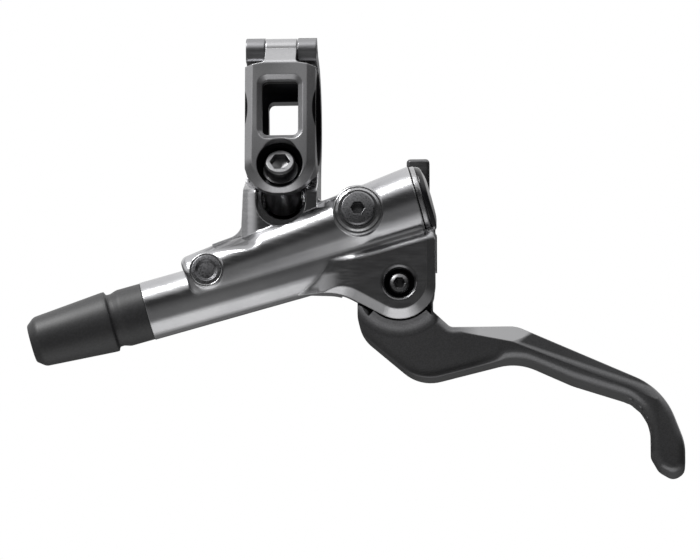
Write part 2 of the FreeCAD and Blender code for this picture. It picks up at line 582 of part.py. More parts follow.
def lever_blade():
    outline = finger_outline()
    blade = plate(outline, "-blade_half", "blade_half")
    faces = (at_depth(-S["blade_half"]), at_depth(S["blade_half"]))

    def outer_edge(edge):
        return (faces[0](edge) or faces[1](edge)) and edge.BoundBox.ZMin < S["pivot_z"] - 1.7

    blade = cut(rounded_edges(blade, S["blade_round"], outer_edge), *facets(), *dimples(outline))
    x, z = S["pivot_x"], S["pivot_z"]
    room = S["cheek_radius"] + 0.45
    slope = math.radians(28.8)
    touch_x, touch_z = x - room * math.sin(slope), z - room * math.cos(slope)
    left = x - 14
    above = [(left, touch_z + math.tan(slope) * (touch_x - left), 0), (touch_x, touch_z, 0), (x, z, 0),
             (x + 14, z, 0), (x + 14, z + 8, 0), (left, z + 8, 0)]
    cuts = []
    for near, far, base in (("-near_face - 1", "-hub_half", -S["near_face"] - 1),
                            ("hub_half", "near_face + 1", S["hub_half"])):
        cuts.append(plate(above, near, far))
        disc = rod("cheek_radius + 0.45", "near_face + 1 - hub_half")
        cuts.append(placed(disc, Placement(Vector(x, base, z), ALONG_Y)))
    flare = "cheek_radius + 0.45 + near_face - hub_half + 1"
    near_cone = placed(taper(flare, "cheek_radius + 0.45", "near_face + 1 - hub_half"),
                       Placement(Vector(x, -S["near_face"] - 1, z), ALONG_Y))
    far_cone = placed(taper("cheek_radius + 0.45", flare, "near_face + 1 - hub_half"),
                      Placement(Vector(x, S["hub_half"], z), ALONG_Y))
    lower_half = plate([(x - 9, z - 25, 0), (x + 12, z - 25, 0), (x + 12, z - 1, 0), (x - 9, z - 1, 0)],
                       "-near_face - 2", "near_face + 2")
    cuts += [common(near_cone, lower_half), far_cone]
    hub = placed(rod("hub_radius", "2 * hub_half"), Placement(Vector(x, -S["hub_half"], z), ALONG_Y))
    toward_pin = Vector(PIN_X - x, 0, PIN_Z - z).normalize()
    aside = Vector(toward_pin.z, 0, -toward_pin.x)
    root = 5.0
    tip_radius = S["arm_end_radius"]
    corners = [Vector(x, 0, z) + aside * root, Vector(PIN_X, 0,
                                                      PIN_Z) + aside * tip_radius + toward_pin * tip_radius,
               Vector(PIN_X, 0, PIN_Z) - aside * tip_radius + toward_pin * tip_radius,
               Vector(x, 0, z) - aside * root]
    radii = (0, tip_radius * 0.95, tip_radius * 0.95, 0)
    arm = plate([(point.x, point.z, radius) for point, radius in zip(corners, radii)], "-hub_half",
                "hub_half")
    fork = plate([(*barrel_point(PIN_STATION - 12, -3.6), 0), (*barrel_point(PIN_STATION + 1, -3.6), 0),
                  (*barrel_point(PIN_STATION + 4, -2.0), 0), (*barrel_point(PIN_STATION + 4, 5.0), 0),
                  (*barrel_point(PIN_STATION - 12, 5.0), 0)], "-eye_half - side_gap", "eye_half + side_gap")
    pin_hole = placed(rod("pin_radius", "4 * hub_half"),
                      Placement(Vector(PIN_X, -2 * S["hub_half"], PIN_Z), ALONG_Y))
    bush_hole = placed(rod("bush_radius", "4 * hub_half"),
                       Placement(Vector(x, -2 * S["hub_half"], z), ALONG_Y))
    screw_hole = placed(rod("1.5", "9", "-4.5"), reach_screw_place())
    return node("lever_blade", cut(fuse(cut(blade, *cuts), hub, arm), fork, pin_hole, bush_hole,
                                   screw_hole))


def reach_screw_place():
    """The reach screw crosses the hub below the pivot, its socket open to the front of the lever."""
    return Placement(Vector(S["pivot_x"] + 4.5, 0, S["pivot_z"] - 14.5), Rotation(Vector(0, 1, 0), 125))


def pivot_parts():
    x, z = S["pivot_x"], S["pivot_z"]
    head = 0.9
    axle = turned([("axle_radius - 0.4", "axle_radius", "0.4"),
                   ("axle_radius", "near_face + slot_half - 0.4 - %s" % head),
                   ("axle_thread", "far_face - slot_half - 0.5"),
                   ("axle_thread", "axle_thread - 0.4", "0.4")],
                  [hexagon("2.5", "2.4", "-0.1")])
    node("pivot_axle", axle, Placement(Vector(x, head - S["near_face"], z), ALONG_Y))
    for name, start in (("pivot_bush_near", -S["hub_half"]), ("pivot_bush_far", 0.15)):
        bush = cut(rod("bush_radius", "hub_half - 0.15"),
                   rod("axle_radius + running_gap", "2 * hub_half", "-1"))
        node(name, bush, Placement(Vector(x, start, z), ALONG_Y))
    pin = turned([("pin_radius", "2 * hub_half - 0.2")])
    node("push_pin", pin, Placement(Vector(PIN_X, 0.1 - S["hub_half"], PIN_Z), ALONG_Y))
    screw = turned([("1.5", "7.0"), ("1.5", "1.1", "0.4")], [hexagon("1.5", "1.6", "-0.1")])
    node("reach_screw", screw, reach_screw_place().multiply(Placement(Vector(0, 0, -4.2), Rotation())))


def at_station(station):
    return BARREL.multiply(Placement(Vector(0, 0, station), Rotation()))


def cylinder_parts():
    slide = "bore_radius - piston_gap"
    nose_end = PISTON_START + S["piston_nose"]
    seal_start = nose_end + S["front_land"] + S["piston_waist"] + S["middle_land"]
    piston_end = seal_start + S["seal_groove"] + S["rear_land"]
    piston = turned([("piston_nose_radius", "piston_nose"), (slide, "front_land"),
                     ("waist_radius", "piston_waist"),
                     (slide, "middle_land"), ("groove_radius", "seal_groove"), (slide, "rear_land")],
                    [rod("rod_radius + 0.2", "rod_seat",
                         str(piston_end - PISTON_START - S["rod_seat"] + 0.1))])
    node("piston", piston, at_station(PISTON_START))
    cup = turned([("bore_radius - seal_gap", "piston_nose - 0.3")],
                 [rod("piston_nose_radius + 0.05", "5", "-1"),
                  cut(rod("bore_radius - 0.9", "1.4", "-0.1"),
                      rod("piston_nose_radius + 0.9", "1.6", "-0.2"))])
    node("primary_cup", cup, at_station(PISTON_START + 0.2))
    seal = turned([("bore_radius - seal_gap", "seal_groove - 0.2")],
                  [rod("groove_radius + 0.05", "5", "-1"),
                   cut(rod("bore_radius - 0.5", "1.1", "-0.1"), rod("groove_radius + 0.5", "1.3", "-0.2"))])
    node("secondary_cup", seal, at_station(seal_start + 0.1))
    stop = turned([("bore_radius - 0.05", "stop_washer_thick")], [rod("3.0", "2", "-0.5")])
    ring_start = S["bore_end"] - S["snap_ring_thick"] - 0.7
    node("stop_washer", stop, at_station(ring_start - S["stop_washer_thick"] - 0.05))
    ring = turned([("bore_radius + snap_groove - 0.15", "snap_ring_thick")], [rod("3.9", "2", "-0.5")])
    snap = cut(ring, block((-9, -1.4, -1), (0, 1.4, 2)))
    node("snap_ring", snap, at_station(ring_start))
    rod_start = piston_end - S["rod_seat"] + 0.15
    push = fuse(taper("rod_radius - 0.7", "rod_radius", "0.7"),
                rod("rod_radius", str(PIN_STATION - rod_start - 0.7), "0.7"))
    eye = placed(rod("eye_radius", "2 * eye_half"),
                 Placement(Vector(0, -S["eye_half"], PIN_STATION - rod_start), ALONG_Y))
    hole = placed(rod("pin_radius + eye_clearance", "6 * eye_half"),
                  Placement(Vector(0, -3 * S["eye_half"], PIN_STATION - rod_start), ALONG_Y))
    flats = [block((-4, side * S["eye_half"] - (4 if side < 0 else 0), PIN_STATION - rod_start - 4.6),
                   (4, side * S["eye_half"] + (4 if side > 0 else 0), PIN_STATION - rod_start + 5))
             for side in (-1, 1)]
    node("push_rod", cut(fuse(push, eye), hole, *flats), at_station(rod_start))


def return_spring():
    """A wire coil between the floor of the bore and the piston, its end turns lying flat."""
    wire, radius = S["wire_radius"], S["coil_radius"]
    start, end = S["bore_start"] + wire + 0.05, PISTON_START - wire - 0.05
    turns = 6.0
    helix = Part.makeHelix((end - start) / turns, end - start, radius)
    profile = Part.Wire(Part.makeCircle(wire, Vector(radius, 0, 0), Vector(0, 1, 0)))
    coil = Part.Wire(helix).makePipeShell([profile], True, True)
    spring = doc.addObject("Part::Feature", "spring")
    spring.Shape = coil
    node("return_spring", spring, at_station(start))


def hose_end():
    nut = cut(rod("port_radius - 0.05", "nut_head + port_depth - 0.4"),
              rod("hose_radius + 0.05", "60", "-1"))
    head = cut(hexagon("nut_hex", "nut_head - 0.05"), rod("hose_radius + 0.05", "60", "-1"))
    node("hose_nut", fuse(nut, head), at_station(-S["nut_head"]))
    olive = turned([("3.0", "port_radius - 0.4", "0.8"), ("port_radius - 0.4", "port_radius - 0.7", "1.6")],
                   [rod("hose_radius + 0.05", "6", "-1")])
    node("hose_olive", olive, at_station(S["port_depth"] - 0.1))
    length, ridge, small = S["boot_length"], S["boot_ridge"], S["boot_small"]
    flush = S["barrel_radius"] - 0.15
    inner, pocket = S["hose_radius"] + 0.05, S["nut_hex"] / math.sqrt(3) + 0.28
    profile = [(0, inner, 0), (0, small - 1.6, 0.8), (2.0, small, 2.2), (length - 9.6, ridge, 1.0),
               (length - 8.8, ridge, 0.3), (length - 8.4, flush - 0.5, 0.5),
               (length - 7.4, flush - 0.5, 0.6),
               (length - 5.8, flush, 2.0), (length - 0.05, flush, 0), (length - 0.05, pocket, 0),
               (length - 12.6, pocket, 0.6), (length - 13.6, inner, 0.4)]
    node("hose_boot", spun(profile), at_station(-length))


def reservoir_parts():
    seat = cap_seat()
    edge, crown = S["cap_radius"], S["cap_crown"]
    dome = spun([(0, 0, 0), (0, edge - 0.1, 0.3), (0.6 * crown, edge - 0.7, 1.2),
                 (0.93 * crown, 0.6 * edge, 6.0),
                 (crown, 0, 0)])
    shift = Placement(Vector(-S["cavity_rise"], 0, 0), Rotation())
    lip_radius = "cavity_large - 2 * bladder_wall - 0.4"
    lip = placed(rod(lip_radius, "lip_reach + 0.2", "-lip_reach"), shift)
    node("reservoir_cap", fuse(dome, lip),
         seat.multiply(Placement(Vector(0, 0, S["gasket_thick"] + S["cap_land"]), Rotation())))
    hole = placed(rod(lip_radius + " + 0.05", "4", "-1"), shift)
    ring = turned([("cap_radius", "cap_land - 0.25"), ("cap_radius", "cap_radius - 0.2", "0.25")], [hole])
    node("cap_ring", ring, seat.multiply(Placement(Vector(0, 0, S["gasket_thick"]), Rotation())))
    node("cap_gasket", cut(rod("cap_radius - 0.4", "gasket_thick"), hole), seat)
    start = Vector(-S["cavity_rise"], 0, S["reservoir_length"] - S["cavity_length"] + 12)
    outer, length = ("cavity_small + 0.2", "cavity_large - 0.15"), "cavity_length - 12"
    tube = turned([(*outer, length)], [taper(outer[0] + " - bladder_wall", outer[1] + " - bladder_wall",
                                             length,
                                             "bladder_wall")])
    bladder = placed(tube, RESERVOIR.multiply(Placement(start, Rotation())))
    trim = block((-40, -40, S["end_station"] - 0.05), (40, 40, S["end_station"] + 30), BARREL)
    node("reservoir_bladder", cut(bladder, trim))


def small_fittings():
    bleed = turned([("bleed_radius - 0.35", "bleed_radius", "0.35"), ("bleed_radius", "0.9"),
                    ("bleed_shank - 0.05", "4.6"), ("bleed_shank - 0.05", "bleed_shank - 0.7", "0.6")],
                   [hexagon("bleed_hex", "1.9", "-0.1")])
    front = S["bleed_front"]
    node("bleed_screw", bleed, Placement(Vector(S["bleed_x"], -front - 1.6, S["bleed_z"]), ALONG_Y))
    ring = doc.addObject("Part::Torus", "o_ring")
    bind(ring, Radius1="bleed_shank + ring_wire + 0.05", Radius2="ring_wire")
    groove_level = -front + 0.05
    node("bleed_o_ring", ring, Placement(Vector(S["bleed_x"], groove_level, S["bleed_z"]), ALONG_Y))
    plug = turned([("plug_radius - 0.05", "plug_radius - 0.95", "0.9"), ("plug_radius - 0.95", "2.2")],
                  [taper("2.6", "2.05", "0.5", "-0.01")])
    node("port_plug", plug, Placement(Vector(S["plug_x"], 0.4 - S["plug_front"], S["plug_z"]), ALONG_Y))


def build():
    clamp_band()
    clamp_fasteners()
    master_cylinder_body()
    lever_blade()
    pivot_parts()
    cylinder_parts()
    return_spring()
    hose_end()
    reservoir_parts()
    small_fittings()


build()
doc.recompute()
faulty = [thing.Label for thing in doc.Objects if {"Invalid", "Error"} & set(thing.State)]
faulty += [thing.Label for thing in NODES if thing.Shape.isNull() or not thing.Shape.isValid()]
if faulty:
    raise RuntimeError("not built: " + ", ".join(faulty))
os.makedirs("parts", exist_ok=True)
for thing in NODES:
    thing.Shape.exportStep("parts/%s.step" % thing.Label)
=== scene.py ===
"""Looks, light and camera for the hydraulic brake lever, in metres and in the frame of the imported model."""

import json
import math

import bmesh
import bpy
from mathutils import Matrix, Vector


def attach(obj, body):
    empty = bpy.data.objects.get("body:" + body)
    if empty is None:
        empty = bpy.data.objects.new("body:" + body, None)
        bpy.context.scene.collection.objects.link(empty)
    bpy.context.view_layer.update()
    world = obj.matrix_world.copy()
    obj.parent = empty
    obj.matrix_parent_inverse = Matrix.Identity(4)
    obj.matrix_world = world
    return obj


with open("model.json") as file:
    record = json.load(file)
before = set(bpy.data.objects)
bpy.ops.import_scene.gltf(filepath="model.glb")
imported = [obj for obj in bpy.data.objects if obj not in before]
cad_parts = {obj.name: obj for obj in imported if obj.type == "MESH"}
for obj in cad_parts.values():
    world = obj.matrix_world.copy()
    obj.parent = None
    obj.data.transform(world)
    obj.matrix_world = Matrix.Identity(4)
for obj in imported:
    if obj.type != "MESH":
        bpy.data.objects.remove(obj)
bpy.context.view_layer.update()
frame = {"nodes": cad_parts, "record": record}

MM = 0.001
ALONG_BAR = (1.0, 0.0, 0.0)
THROUGH_LEVER = (0.0, 1.0, 0.0)

# The photograph's frame: where the camera looks, from where, and how much of the part it takes in
LOOK_AT = Vector((15.75, 0.0, -38.8)) * MM
VIEW_AZIMUTH = math.radians(3.0)
VIEW_ELEVATION = math.radians(-12.0)
VIEW_DISTANCE = 1.2
VIEW_WIDTH = 164.5 * MM
SENSOR_WIDTH = 36.0

# The stage: a floor well below the part, and the one lamp
FLOOR_LEVEL = -0.33
FLOOR_HALF = 0.12
FLOOR_GREY = (0.86, 0.86, 0.86)
FLOOR_GLOW = 0.8
LAMP_PLACE = (-0.5, -0.45, 0.7)
LAMP_SIZE = 0.5
LAMP_POWER = 8.0

# The studio that the part reflects: how bright each side is, and the span of the direction's own
# coordinate, from -1 to 1, over which it rises or falls to nothing
CEILING, CEILING_RISE = 1.05, (0.40, 0.78)
GROUND, GROUND_FALL = 0.95, (-0.98, -0.62)
LOW_GLOW, LOW_GLOW_FALL = 0.19, (-0.35, 0.08)
BACK_WALL, BACK_WALL_RISE, BACK_WALL_FOOT = 0.95, (0.25, 0.65), (0.18, 0.35)
LEFT_WALL, LEFT_WALL_FALL, LEFT_WALL_FOOT = 0.9, (-0.9, -0.5), (0.10, 0.28)
DIMMEST = 0.045

# Places on the part, in mm, that its finishes are laid out by
BAR_AXIS = (0.0, 0.0, 0.0)
BARREL_TILT = math.radians(15.5)
BOLT_TILT = math.radians(24)
BOLT_POINT = (0.0, -11.0, -13.8)
BOLT_AXIS = (0.0, math.cos(BOLT_TILT), -math.sin(BOLT_TILT))
PIVOT = (27.64, 0.0, -41.1)
BLEED_SCREW = (18.2, 0.0, -27.6)
PORT_PLUG = (-17.4, 0.0, -41.0)
LEDGE_POINT = (11.2, -8.2, -35.7)
LEDGE_AXIS = (0.959, 0.0, 0.282)
SWEEP_POINT = (7.9, 0.0, -39.9)
SWEEP_ACROSS = (0.785, 0.0, -0.62)
CREASE_POINT = (55.9, 0.0, -55.3)
CREASE_DOWN = (-0.334, 0.0, -0.943)
BEND_POINT = (56.7, 0.0, -53.8)
BEND_ACROSS = (0.678, 0.0, -0.734)

# The cylinder's finishes, its painted shade among them: radii, and stretches from where a finish starts
# to where it is full, in mm; leans push a normal towards a direction
POCKET_RADIUS = 5.3
POCKET_DEPTH = (-2.0, -4.0)
RECESS_RADIUS = 3.55
RECESS_RIM = 4.3
BODY_SEAT_RADIUS = 11.3
SADDLE_FOOT = (-13.0, -11.0)
BRACE_DEPTH = (7.2, 7.5)
BRACE_LENGTH = (25.0, 26.5)
LEDGE_RADIUS = 2.4
LEDGE_START_RADIUS = 1.9
LEDGE_START = (22.0, 13.0)
LEDGE_START_LEAN = (0.0, -1.3, -0.3)
SWEEP_HALF = (2.6, 1.6)
SWEEP_DEPTH = (0.0, -2.0)
SWEEP_HEIGHT = (-37.0, -38.5)
WALL_LENGTH = (-4.4, -8.0)
WALL_TOP = (-15.5, -17.0)
WALL_FOOT = (-34.0, -32.0)
WALL_DEPTH = (-3.0, -5.0)
WALL_LEAN = (-0.9, 0.0, 0.1)
CASTING_EDGE, LEDGE_SOFTER, SWEEP_SOFTER = 0.45, 0.9, 1.6

# The blade's finishes, its painted highlight and shade among them, in mm
FINGER_REST = (80.0, 82.0)
SHOULDER_LENGTH = (41.0, 46.0)
SHOULDER_FACING = (0.25, 0.38)
BEFORE_BEND = (0.6, -0.3)
PAST_BEND = (-0.3, 0.6)
BELLY_TOP = (-55.0, -57.0)
BELLY_LEFT = (36.0, 32.0)
BELLY_RIGHT = (52.0, 44.0)
BELLY_FLATTER = 7.0
HUB_RADIUS = 11.2
HUB_DEPTH = (-2.0, -3.0)
HUB_LEAN = (0.0, -0.3, -1.5)
BELOW_CREASE = (0.4, 4.4)
ABOVE_CREASE = (0.2, -0.4)
ABOVE_CREASE_LEAN = (0.0, 0.0, -0.22)
CREASE_RISE = (50.0, 57.0)
CREASE_END = (88.0, 81.0)
TIP_HEIGHT = (-84.8, -88.4)
TIP_LEAN = (0.3, 0.0, -1.0)
BLADE_ROUNDING, COLLAR_ROUNDING = 0.45, 0.02
REST_SHARPER = 0.3

# The clamp band's finishes, all of them painted shade, in mm
COUNTERBORE_RADIUS = 5.45
COUNTERBORE_FOOT = (-17.2, -16.8)
COUNTERBORE_MOUTH = (-10.2, -10.6)
BAND_SEAT_RADIUS = 12.9

# The collar of the blade's hub: its section as radius and depth in mm, and the arc it covers
COLLAR_SECTION = ((8.75, -5.6), (10.5, -5.6), (8.8, -4.0))
COLLAR_START = math.radians(-134)
COLLAR_SWEEP = math.radians(89)
COLLAR_STEPS = 56

# How rough each finish is, between its smoothest and its dullest spots, and how much duller the saddle
BARREL_POLISH, SADDLE_DULLER = (0.17, 0.24), 0.16
BLADE_SATIN = (0.31, 0.37)
BAND_MATT = (0.33, 0.43)
CAP_GLOSS = (0.10, 0.17)

# The size of the soft clouds in a finish, in metres
ALLOY_CLOUDS = 14 * MM
COAT_CLOUDS = 22 * MM

# Colours of the cylinder, the blade and the band, painted highlights and shade among them
BARREL_DARK, BARREL_LIGHT = (0.46, 0.46, 0.475), (0.55, 0.55, 0.56)
# paler edges: partly rubbed alloy, partly painted highlight
RUBBED_AND_LIT_EDGE = (0.88, 0.88, 0.89)
SADDLE_GREY = (0.30, 0.30, 0.31)
BRACE_GREY = (0.17, 0.17, 0.175)
# painted shade on the rim round the pivot's recess
RIM_SHADE_GREY = (0.20, 0.20, 0.205)
# painted shade: near black where shade falls in hollows, pockets and bores
SHADE_BLACK = (0.012, 0.012, 0.013)
BLADE_DARK, BLADE_LIGHT = (0.14, 0.14, 0.144), (0.18, 0.18, 0.184)
# painted highlight on the blade's up-facing shoulder
SHOULDER_HIGHLIGHT = (0.36, 0.36, 0.366)
# paler blade edges: partly rubbed coat, partly painted glints
BLADE_EDGE_GLINT_AND_WEAR = (0.45, 0.45, 0.46)
# painted shade on the edges and dimples of the finger rest
REST_DIMPLE_SHADE = (0.02, 0.02, 0.02)
BAND_DARK, BAND_LIGHT = (0.43, 0.43, 0.44), (0.49, 0.49, 0.50)
SCREW_GREY = (0.24, 0.24, 0.25)


def new_material(name):
    """A new material with its node tree and its surface shader."""
    material = bpy.data.materials.new(name)
    material.use_nodes = True
    tree = material.node_tree
    return material, tree, tree.nodes["Principled BSDF"]


def combined(tree, operation, first, second):
    """Two values, each a socket or a float, joined by one of the maths node's operations."""
    node = tree.nodes.new("ShaderNodeMath")
    node.operation = operation
    for socket, value in zip(node.inputs, (first, second)):
        if isinstance(value, float):
            socket.default_value = value
        else:
            tree.links.new(value, socket)
    return node.outputs["Value"]


def times(tree, first, *others):
    """The values multiplied; of masks, 1 where all of them are 1."""
    for other in others:
        first = combined(tree, "MULTIPLY", first, other)
    return first


def greatest(tree, first, *others):
    """The greatest of the values; of masks, 1 where any of them is 1."""
    for other in others:
        first = combined(tree, "MAXIMUM", first, other)
    return first


def stepped_up(tree, base, mask, step):
    """The base, raised by the step where the mask is 1."""
    return combined(tree, "ADD", times(tree, mask, step), base)


def vectors(tree, operation, first, second=None):
    """A vector maths node whose inputs are sockets, tuples or vectors."""
    node = tree.nodes.new("ShaderNodeVectorMath")
    node.operation = operation
    for socket, value in zip(node.inputs, (first, second)):
        if isinstance(value, (tuple, Vector)):
            socket.default_value = value
        elif value is not None:
            tree.links.new(value, socket)
    return node


def unit(tree, vector):
    """The vector at length 1."""
    return vectors(tree, "NORMALIZE", vector).outputs["Vector"]


def spread(tree, source, low, high, start=0.35, end=0.65):
    """Low at the start of the source's range and high at its end; the default is a noise's middle."""
    reach = tree.nodes.new("ShaderNodeMapRange")
    reach.inputs["From Min"].default_value = start
    reach.inputs["From Max"].default_value = end
    reach.inputs["To Min"].default_value = low
    reach.inputs["To Max"].default_value = high
    tree.links.new(source, reach.inputs["Value"])
    return reach.outputs["Result"]


def grain(tree, size, detail, stretch=(1.0, 1.0, 1.0), turn=0.0):
    """Noise with features about size metres wide, stretched and turned about Y for a worked direction."""
    coordinates = tree.nodes.new("ShaderNodeTexCoord")
    mapping = tree.nodes.new("ShaderNodeMapping")
    mapping.inputs["Rotation"].default_value = (0.0, turn, 0.0)
    mapping.inputs["Scale"].default_value = stretch
    noise = tree.nodes.new("ShaderNodeTexNoise")
    noise.inputs["Scale"].default_value = 1.0 / size
    noise.inputs["Detail"].default_value = detail
    tree.links.new(coordinates.outputs["Object"], mapping.inputs["Vector"])
    tree.links.new(mapping.outputs["Vector"], noise.inputs["Vector"])
    return noise.outputs["Fac"]


def from_point(tree, point):
    """The way from a point of the part, in mm, to the place that is shaded."""
    place = tree.nodes.new("ShaderNodeTexCoord").outputs["Object"]
    return vectors(tree, "SUBTRACT", place, Vector(point) * MM).outputs["Vector"]


def along(tree, axis, start, end):
    """0 at the start and 1 at the end, both in mm along an axis of the part, and level beyond them."""
    parts = tree.nodes.new("ShaderNodeSeparateXYZ")
    place = tree.nodes.new("ShaderNodeTexCoord").outputs["Object"]
    tree.links.new(place, parts.inputs["Vector"])
    return spread(tree, parts.outputs[axis], 0.0, 1.0, start * MM, end * MM)


def beyond(tree, point, direction, start, end):
    """0 at the start and 1 at the end, both in mm from a point along a direction, and level beyond them."""
    run = vectors(tree, "DOT_PRODUCT", from_point(tree, point), direction)
    return spread(tree, run.outputs["Value"], 0.0, 1.0, start * MM, end * MM)


def near_line(tree, point, direction, radius, ease=0.08):
    """1 within the radius, in mm, of a line through the part, 0 beyond it."""
    across = vectors(tree, "CROSS_PRODUCT", from_point(tree, point), Vector(direction).normalized())
    distance = vectors(tree, "LENGTH", across.outputs["Vector"])
    return spread(tree, distance.outputs["Value"], 1.0, 0.0, (radius - ease) * MM, (radius + ease) * MM)


def painted(tree, mask, under, paint):
    """The colour under, which is a socket or a tuple, where the mask is 0, and the paint where it is 1."""
    mix = tree.nodes.new("ShaderNodeMix")
    mix.data_type = "RGBA"
    if isinstance(under, tuple):
        mix.inputs["A"].default_value = (*under, 1.0)
    else:
        tree.links.new(under, mix.inputs["A"])
    mix.inputs["B"].default_value = (*paint, 1.0)
    tree.links.new(mask, mix.inputs["Factor"])
    return mix.outputs["Result"]


def speckled(tree, noise, dark, light):
    """A colour that runs between a dark and a light one with the noise."""
    return painted(tree, spread(tree, noise, 0.0, 1.0), dark, light)


def eased_edges(tree, radius):
    """Normals that turn softly over every edge, as on a tumbled or coated casting."""
    bevel = tree.nodes.new("ShaderNodeBevel")
    bevel.samples = 6
    if isinstance(radius, float):
        bevel.inputs["Radius"].default_value = radius
    else:
        tree.links.new(radius, bevel.inputs["Radius"])
    return bevel.outputs["Normal"]


def sharp_edges(tree, radius, sharpest, flattest):
    """0 on flat faces, 1 along sharp edges, from how far the softened normal leans from the true one."""
    true_normal = tree.nodes.new("ShaderNodeNewGeometry").outputs["True Normal"]
    agreement = vectors(tree, "DOT_PRODUCT", eased_edges(tree, radius), true_normal)
    return spread(tree, agreement.outputs["Value"], 1.0, 0.0, sharpest, flattest)


def relief(tree, height, depth, normal):
    """The normal with fine relief on it, depth metres deep."""
    bump = tree.nodes.new("ShaderNodeBump")
    bump.inputs["Distance"].default_value = depth
    tree.links.new(height, bump.inputs["Height"])
    tree.links.new(normal, bump.inputs["Normal"])
    return bump.outputs["Normal"]


def leaned(tree, normal, lean, amount):
    """The normal leaned towards a direction, as on a face that is crowned there."""
    push = vectors(tree, "SCALE", lean)
    tree.links.new(amount, push.inputs["Scale"])
    return unit(tree, vectors(tree, "ADD", normal, push.outputs["Vector"]).outputs["Vector"])


def domed(tree, normal, centre, bulge):
    """Normals that lean outwards from an axis along Y through the centre, by bulge at 1 mm from it."""
    outward = vectors(tree, "MULTIPLY", from_point(tree, centre), (bulge / MM, 0.0, bulge / MM))
    return unit(tree, vectors(tree, "ADD", normal, outward.outputs["Vector"]).outputs["Vector"])


def casting_colour(tree, saddle):
    """Grey alloy with a matt saddle and brace, edges paler from rubbing and painted highlight, painted shade
    in hollows and round the pivot's recess.
    """
    colour = speckled(tree, grain(tree, ALLOY_CLOUDS, 3.0), BARREL_DARK, BARREL_LIGHT)
    # edges painted paler: partly rubbing, partly painted highlight
    colour = painted(tree, sharp_edges(tree, 0.35 * MM, 0.86, 0.985), colour, RUBBED_AND_LIT_EDGE)
    colour = painted(tree, saddle, colour, SADDLE_GREY)
    brace = times(tree, along(tree, "Y", *BRACE_DEPTH), along(tree, "X", *BRACE_LENGTH))
    colour = painted(tree, brace, colour, BRACE_GREY)
    # painted shade on the rim round the pivot's recess
    rim = near_line(tree, PIVOT, THROUGH_LEVER, RECESS_RIM, 0.3)
    colour = painted(tree, rim, colour, RIM_SHADE_GREY)
    # painted shade, near black, in the bolt's pocket, the pivot's recess and the bar's seat
    pocket = times(tree, near_line(tree, BOLT_POINT, BOLT_AXIS, POCKET_RADIUS),
                   along(tree, "Y", *POCKET_DEPTH))
    recess = near_line(tree, PIVOT, THROUGH_LEVER, RECESS_RADIUS)
    seat = near_line(tree, BAR_AXIS, ALONG_BAR, BODY_SEAT_RADIUS)
    return painted(tree, greatest(tree, pocket, recess, seat), colour, SHADE_BLACK)


def casting_easing(tree):
    """How softly the casting's edges are rounded: more on the ledge and the sweep to the near cheek."""
    ledge = near_line(tree, LEDGE_POINT, LEDGE_AXIS, LEDGE_RADIUS, 0.5)
    outer, inner = SWEEP_HALF
    sweep = times(tree, beyond(tree, SWEEP_POINT, SWEEP_ACROSS, -outer, -inner),
                  beyond(tree, SWEEP_POINT, SWEEP_ACROSS, outer, inner),
                  along(tree, "Y", *SWEEP_DEPTH), along(tree, "Z", *SWEEP_HEIGHT))
    easing = stepped_up(tree, CASTING_EDGE * MM, ledge, LEDGE_SOFTER * MM)
    return stepped_up(tree, easing, sweep, SWEEP_SOFTER * MM)


def casting_normal(tree, lines):
    """Eased edges, polishing lines, and the crowns of the pedestal's left wall and of the ledge's start."""
    normal = relief(tree, lines, 0.004 * MM, eased_edges(tree, casting_easing(tree)))
    wall = times(tree, along(tree, "X", *WALL_LENGTH), along(tree, "Y", *WALL_DEPTH),
                 along(tree, "Z", *WALL_TOP), along(tree, "Z", *WALL_FOOT))
    normal = leaned(tree, normal, WALL_LEAN, wall)
    ledge_start = times(tree, near_line(tree, LEDGE_POINT, LEDGE_AXIS, LEDGE_START_RADIUS, 1.5),
                        along(tree, "X", *LEDGE_START))
    return leaned(tree, normal, LEDGE_START_LEAN, ledge_start)


def polished_casting():
    """Semi-polished grey alloy of the cylinder, with soft polishing lines along the barrel."""
    material, tree, surface = new_material("polished_casting")
    saddle = along(tree, "Z", *SADDLE_FOOT)
    lines = grain(tree, 0.5 * MM, 3.0, (0.12, 1.0, 1.0), -BARREL_TILT)
    tree.links.new(casting_colour(tree, saddle), surface.inputs["Base Color"])
    roughness = stepped_up(tree, spread(tree, lines, *BARREL_POLISH), saddle, SADDLE_DULLER)
    tree.links.new(roughness, surface.inputs["Roughness"])
    tree.links.new(casting_normal(tree, lines), surface.inputs["Normal"])
    surface.inputs["Metallic"].default_value = 1.0
    return material


def blade_colour(tree, specks, finger_rest, glint_and_wear):
    """Satin black; painted highlight on the up-facing shoulder before the bend; edges rubbed and painted with
    glints; painted shade round the finger rest.
    """
    colour = speckled(tree, specks, BLADE_DARK, BLADE_LIGHT)
    facing = tree.nodes.new("ShaderNodeSeparateXYZ")
    tree.links.new(tree.nodes.new("ShaderNodeNewGeometry").outputs["True Normal"], facing.inputs["Vector"])
    # painted highlight where the shoulder faces up, before the bend
    shoulder = times(tree, spread(tree, facing.outputs["Z"], 0.0, 1.0, *SHOULDER_FACING),
                     along(tree, "X", *SHOULDER_LENGTH), beyond(tree, BEND_POINT, BEND_ACROSS, *BEFORE_BEND))
    colour = painted(tree, shoulder, colour, SHOULDER_HIGHLIGHT)
    # edges painted paler: partly rubbing, partly painted glints
    edges = times(tree, sharp_edges(tree, 0.22 * MM, 0.80, 0.95), glint_and_wear)
    colour = painted(tree, edges, colour, BLADE_EDGE_GLINT_AND_WEAR)
    # painted shade on the edges and dimples of the finger rest
    return painted(tree, times(tree, edges, finger_rest), colour, REST_DIMPLE_SHADE)


